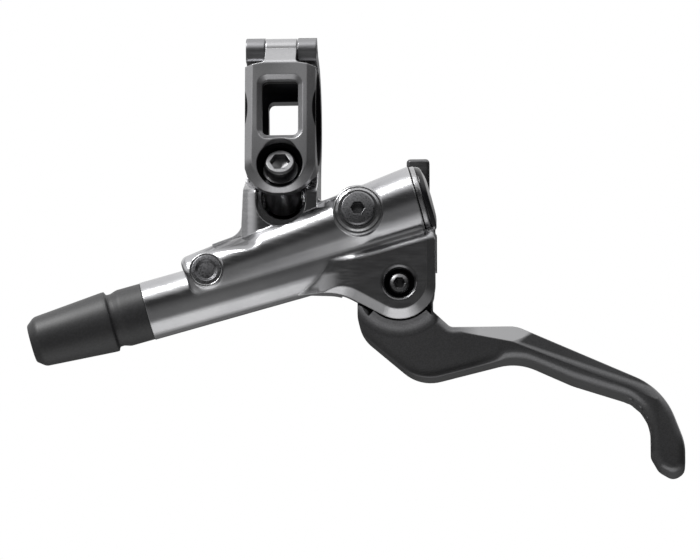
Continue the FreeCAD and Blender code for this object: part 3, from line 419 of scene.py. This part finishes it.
def calmed_belly(tree, normal):
    """The normal, turned straight outwards on the blade's broad belly, where the forging is flat."""
    belly = times(tree, greatest(tree, along(tree, "Z", *BELLY_TOP), along(tree, "X", *BELLY_LEFT)),
                  along(tree, "X", *BELLY_RIGHT))
    scale = tree.nodes.new("ShaderNodeCombineXYZ")
    scale.inputs["X"].default_value = 1.0
    scale.inputs["Z"].default_value = 1.0
    tree.links.new(stepped_up(tree, 1.0, belly, BELLY_FLATTER), scale.inputs["Y"])
    return unit(tree, vectors(tree, "MULTIPLY", normal, scale.outputs["Vector"]).outputs["Vector"])


def blade_normal(tree, specks, finger_rest, rounding):
    """Eased edges, fine specks, and the forging's soft crowns."""
    easing = stepped_up(tree, rounding, finger_rest, -REST_SHARPER * rounding)
    normal = relief(tree, specks, 0.008 * MM, eased_edges(tree, easing))
    normal = calmed_belly(tree, normal)
    hub = times(tree, near_line(tree, PIVOT, THROUGH_LEVER, HUB_RADIUS, 1.6), along(tree, "Y", *HUB_DEPTH))
    normal = leaned(tree, normal, HUB_LEAN, hub)
    below_crease = times(tree, beyond(tree, CREASE_POINT, CREASE_DOWN, *BELOW_CREASE),
                         along(tree, "X", *CREASE_RISE), along(tree, "X", *CREASE_END))
    normal = leaned(tree, normal, CREASE_DOWN, below_crease)
    above_crease = times(tree, beyond(tree, CREASE_POINT, CREASE_DOWN, *ABOVE_CREASE),
                         beyond(tree, BEND_POINT, BEND_ACROSS, *PAST_BEND))
    normal = leaned(tree, normal, ABOVE_CREASE_LEAN, above_crease)
    return leaned(tree, normal, TIP_LEAN, along(tree, "Z", *TIP_HEIGHT))


def satin_blade(name, glint_and_wear, rounding):
    """Satin black coat over the forged blade, with edge rubbing and painted glints from 0 to 1 and the edges'
    rounding in metres.
    """
    material, tree, surface = new_material(name)
    specks = grain(tree, 0.3 * MM, 6.0)
    finger_rest = along(tree, "X", *FINGER_REST)
    tree.links.new(blade_colour(tree, specks, finger_rest, glint_and_wear), surface.inputs["Base Color"])
    tree.links.new(spread(tree, grain(tree, COAT_CLOUDS, 2.0), *BLADE_SATIN), surface.inputs["Roughness"])
    tree.links.new(blade_normal(tree, specks, finger_rest, rounding), surface.inputs["Normal"])
    surface.inputs["Metallic"].default_value = 0.9
    return material


def anodised_band():
    """Matt grey anodising with fine specks, and painted black shade in the bolt's counterbore and towards the
    bar's seat.
    """
    material, tree, surface = new_material("anodised_band")
    specks = grain(tree, 0.35 * MM, 6.0)
    colour = speckled(tree, specks, BAND_DARK, BAND_LIGHT)
    # painted shade, near black, in the bolt's counterbore and towards the bar's seat
    counterbore = near_line(tree, BOLT_POINT, THROUGH_LEVER, COUNTERBORE_RADIUS)
    above_rim = greatest(tree, along(tree, "Z", *COUNTERBORE_FOOT), along(tree, "Y", *COUNTERBORE_MOUTH))
    counterbore = times(tree, counterbore, above_rim)
    seat = near_line(tree, BAR_AXIS, ALONG_BAR, BAND_SEAT_RADIUS)
    colour = painted(tree, greatest(tree, counterbore, seat), colour, SHADE_BLACK)
    tree.links.new(colour, surface.inputs["Base Color"])
    tree.links.new(spread(tree, grain(tree, COAT_CLOUDS, 2.0), *BAND_MATT), surface.inputs["Roughness"])
    tree.links.new(relief(tree, specks, 0.004 * MM, eased_edges(tree, 0.4 * MM)), surface.inputs["Normal"])
    surface.inputs["Metallic"].default_value = 1.0
    return material


def coated(name, dark, light, roughness, speck, depth):
    """A matt coat: fine specks in colour and relief over an even ground."""
    material, tree, surface = new_material(name)
    specks = grain(tree, speck, 6.0)
    clouds = grain(tree, COAT_CLOUDS, 2.0)
    tree.links.new(speckled(tree, specks, dark, light), surface.inputs["Base Color"])
    tree.links.new(spread(tree, clouds, roughness - 0.05, roughness + 0.05), surface.inputs["Roughness"])
    tree.links.new(relief(tree, specks, depth, eased_edges(tree, 0.4 * MM)), surface.inputs["Normal"])
    return material


def turned_metal(name, colour, roughness, centre=None, bulge=0.0):
    """Plated or bare turned metal with uneven polish, domed about a centre if one is given."""
    material, tree, surface = new_material(name)
    polish = grain(tree, 0.4 * MM, 2.0)
    darker = tuple(0.82 * part for part in colour)
    tree.links.new(speckled(tree, polish, darker, colour), surface.inputs["Base Color"])
    tree.links.new(spread(tree, polish, roughness - 0.04, roughness + 0.06), surface.inputs["Roughness"])
    normal = relief(tree, polish, 0.003 * MM, eased_edges(tree, 0.2 * MM))
    if centre:
        normal = domed(tree, normal, centre, bulge)
    tree.links.new(normal, surface.inputs["Normal"])
    surface.inputs["Metallic"].default_value = 1.0
    return material


def gloss_cap():
    """Glossy black moulding of the reservoir's cap, with a faint haze."""
    material, tree, surface = new_material("gloss_cap")
    surface.inputs["Base Color"].default_value = (0.012, 0.012, 0.014, 1.0)
    tree.links.new(spread(tree, grain(tree, 3 * MM, 3.0), *CAP_GLOSS), surface.inputs["Roughness"])
    tree.links.new(eased_edges(tree, 0.4 * MM), surface.inputs["Normal"])
    return material


def boot_rubber():
    """Matt moulded rubber of the boot over the hose's end."""
    return coated("boot_rubber", (0.030, 0.030, 0.031), (0.042, 0.042, 0.044), 0.5, 0.5 * MM, 0.01 * MM)


def seal_rubber():
    """Darker, duller rubber of the cups, gasket, ring and bladder."""
    return coated("seal_rubber", (0.016, 0.016, 0.016), (0.024, 0.024, 0.024), 0.6, 0.5 * MM, 0.006 * MM)


def piston_resin():
    """Machined resin of the piston, pale ochre."""
    return coated("piston_resin", (0.50, 0.45, 0.34), (0.58, 0.53, 0.40), 0.45, 1.0 * MM, 0.004 * MM)


def bush_resin():
    """Dark moulded resin of the pivot's bushes."""
    return coated("bush_resin", (0.09, 0.09, 0.10), (0.13, 0.13, 0.14), 0.5, 0.8 * MM, 0.004 * MM)


# The finish of each material slot in the record
FINISHES = {
    "body_alloy": polished_casting(),
    "band_alloy": anodised_band(),
    "ring_alloy": turned_metal("turned_ring", (0.46, 0.46, 0.47), 0.24),
    "blade_coat": satin_blade("satin_blade", 1.0, BLADE_ROUNDING * MM),
    "fastener_black": turned_metal("black_plating", (0.30, 0.30, 0.306), 0.34),
    "gunmetal": turned_metal("gunmetal_plating", (0.30, 0.30, 0.31), 0.3),
    "steel": turned_metal("turned_steel", (0.56, 0.56, 0.57), 0.22),
    "brass": turned_metal("turned_brass", (0.72, 0.55, 0.28), 0.25),
    "boot_rubber": boot_rubber(),
    "seal_rubber": seal_rubber(),
    "cap_gloss": gloss_cap(),
    "piston_resin": piston_resin(),
    "bush_resin": bush_resin(),
}

# Screws whose faces are domed, each about its own axis, in place of their slot's finish
DOMED_SCREWS = {
    "bleed_screw": turned_metal("bleed_plating", SCREW_GREY, 0.3, BLEED_SCREW, 0.03),
    "port_plug": turned_metal("plug_plating", SCREW_GREY, 0.3, PORT_PLUG, 0.03),
    "pivot_axle": turned_metal("axle_plating", (0.24, 0.24, 0.245), 0.3, PIVOT, 0.2),
}


def dress_nodes():
    """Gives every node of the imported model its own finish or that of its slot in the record."""
    slots = {part["node"]: part["material_slot"] for part in frame["record"]["subparts"]}
    for name, piece in frame["nodes"].items():
        finish = DOMED_SCREWS.get(name) or FINISHES[slots[name]]
        if not piece.material_slots:
            piece.data.materials.append(finish)
        for slot in piece.material_slots:
            slot.material = finish


def new_piece(name, mesh, material):
    """An object at the origin from a bmesh, which is freed."""
    data = bpy.data.meshes.new(name)
    mesh.to_mesh(data)
    mesh.free()
    data.materials.append(material)
    piece = bpy.data.objects.new(name, data)
    bpy.context.scene.collection.objects.link(piece)
    return piece


def add_hub_collar():
    """The raised rim that brings the blade's outer face up to the cheek's edge, under the pivot."""
    mesh = bmesh.new()
    corners = [mesh.verts.new((radius * MM, depth * MM, 0.0)) for radius, depth in COLLAR_SECTION]
    for corner, following in zip(corners, corners[1:] + corners[:1]):
        mesh.edges.new((corner, following))
    centre = (0.0, 0.0, 0.0)
    bmesh.ops.rotate(mesh, verts=mesh.verts[:], cent=centre, matrix=Matrix.Rotation(-COLLAR_START, 3, "Y"))
    bmesh.ops.spin(mesh, geom=mesh.verts[:] + mesh.edges[:], cent=centre, axis=(0.0, -1.0, 0.0),
                   angle=COLLAR_SWEEP, steps=COLLAR_STEPS, use_merge=False, use_duplicate=False)
    bmesh.ops.holes_fill(mesh, edges=mesh.edges[:], sides=len(COLLAR_SECTION))
    bmesh.ops.recalc_face_normals(mesh, faces=mesh.faces[:])
    bmesh.ops.translate(mesh, verts=mesh.verts[:], vec=Vector(PIVOT) * MM)
    collar = new_piece("hub_collar", mesh, satin_blade("satin_collar", 0.0, COLLAR_ROUNDING * MM))
    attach(collar, "lever")


def pale_floor():
    """Matt near-white that the camera sees almost white, so that only the part's shadow shows on it."""
    material, tree, _ = new_material("pale_floor")
    tree.nodes.clear()
    matt = tree.nodes.new("ShaderNodeBsdfDiffuse")
    matt.inputs["Color"].default_value = (*FLOOR_GREY, 1.0)
    white = tree.nodes.new("ShaderNodeEmission")
    camera_ray = tree.nodes.new("ShaderNodeLightPath").outputs["Is Camera Ray"]
    mix = tree.nodes.new("ShaderNodeMixShader")
    output = tree.nodes.new("ShaderNodeOutputMaterial")
    tree.links.new(times(tree, camera_ray, FLOOR_GLOW), mix.inputs["Fac"])
    tree.links.new(matt.outputs["BSDF"], mix.inputs[1])
    tree.links.new(white.outputs["Emission"], mix.inputs[2])
    tree.links.new(mix.outputs["Shader"], output.inputs["Surface"])
    return material


def add_floor():
    """A plain pale floor, well below the part."""
    mesh = bmesh.new()
    bmesh.ops.create_grid(mesh, x_segments=1, y_segments=1, size=FLOOR_HALF,
                          matrix=Matrix.Translation((0.0, 0.0, FLOOR_LEVEL)))
    new_piece("floor", mesh, pale_floor())


def studio_light(tree):
    """How bright the studio is in each direction: white from above, behind, left and below, dim in front."""
    direction = tree.nodes.new("ShaderNodeSeparateXYZ")
    tree.links.new(tree.nodes.new("ShaderNodeTexCoord").outputs["Generated"], direction.inputs["Vector"])
    right, back, up = (direction.outputs[axis] for axis in "XYZ")
    ceiling = spread(tree, up, 0.0, CEILING, *CEILING_RISE)
    ground = spread(tree, up, GROUND, 0.0, *GROUND_FALL)
    low_glow = spread(tree, up, LOW_GLOW, 0.0, *LOW_GLOW_FALL)
    back_wall = times(tree, spread(tree, back, 0.0, BACK_WALL, *BACK_WALL_RISE),
                      spread(tree, up, 0.0, 1.0, *BACK_WALL_FOOT))
    left_wall = times(tree, spread(tree, right, LEFT_WALL, 0.0, *LEFT_WALL_FALL),
                      spread(tree, up, 0.0, 1.0, *LEFT_WALL_FOOT))
    return greatest(tree, ceiling, ground, low_glow, back_wall, left_wall, DIMMEST)


def add_world():
    """White behind the part, and the studio in all that the part reflects."""
    world = bpy.data.worlds.new("studio")
    world.use_nodes = True
    bpy.context.scene.world = world
    tree = world.node_tree
    tree.nodes.clear()
    path = tree.nodes.new("ShaderNodeLightPath")
    mix = tree.nodes.new("ShaderNodeMix")
    mix.data_type = "FLOAT"
    mix.inputs["B"].default_value = 1.0
    background = tree.nodes.new("ShaderNodeBackground")
    background.inputs["Color"].default_value = (1.0, 1.0, 1.0, 1.0)
    output = tree.nodes.new("ShaderNodeOutputWorld")
    seen = greatest(tree, path.outputs["Is Camera Ray"], path.outputs["Is Transmission Ray"])
    tree.links.new(seen, mix.inputs["Factor"])
    tree.links.new(studio_light(tree), mix.inputs["A"])
    tree.links.new(mix.outputs["Result"], background.inputs["Strength"])
    tree.links.new(background.outputs["Background"], output.inputs["Surface"])


def add_lamp():
    """A soft round lamp from the upper left, turned to the part."""
    lamp = bpy.data.lights.new("key_upper_left", "AREA")
    lamp.shape = "DISK"
    lamp.size = LAMP_SIZE
    lamp.energy = LAMP_POWER
    holder = bpy.data.objects.new("key_upper_left", lamp)
    holder.location = LAMP_PLACE
    holder.rotation_euler = (LOOK_AT - Vector(LAMP_PLACE)).to_track_quat("-Z", "Y").to_euler()
    bpy.context.scene.collection.objects.link(holder)


def add_camera():
    """The photograph's camera, a little below the part's level."""
    lens = bpy.data.cameras.new("camera")
    lens.sensor_width = SENSOR_WIDTH
    lens.lens = SENSOR_WIDTH * VIEW_DISTANCE / VIEW_WIDTH
    lens.clip_start = 0.01
    camera = bpy.data.objects.new("camera", lens)
    away = Vector((math.sin(VIEW_AZIMUTH) * math.cos(VIEW_ELEVATION),
                   -math.cos(VIEW_AZIMUTH) * math.cos(VIEW_ELEVATION), math.sin(VIEW_ELEVATION)))
    camera.location = LOOK_AT + away * VIEW_DISTANCE
    camera.rotation_euler = (-away).to_track_quat("-Z", "Y").to_euler()
    bpy.context.scene.collection.objects.link(camera)
    bpy.context.scene.camera = camera


dress_nodes()
add_hub_collar()
add_floor()
add_world()
add_lamp()
add_camera()
bpy.context.scene.view_settings.view_transform = "Standard"
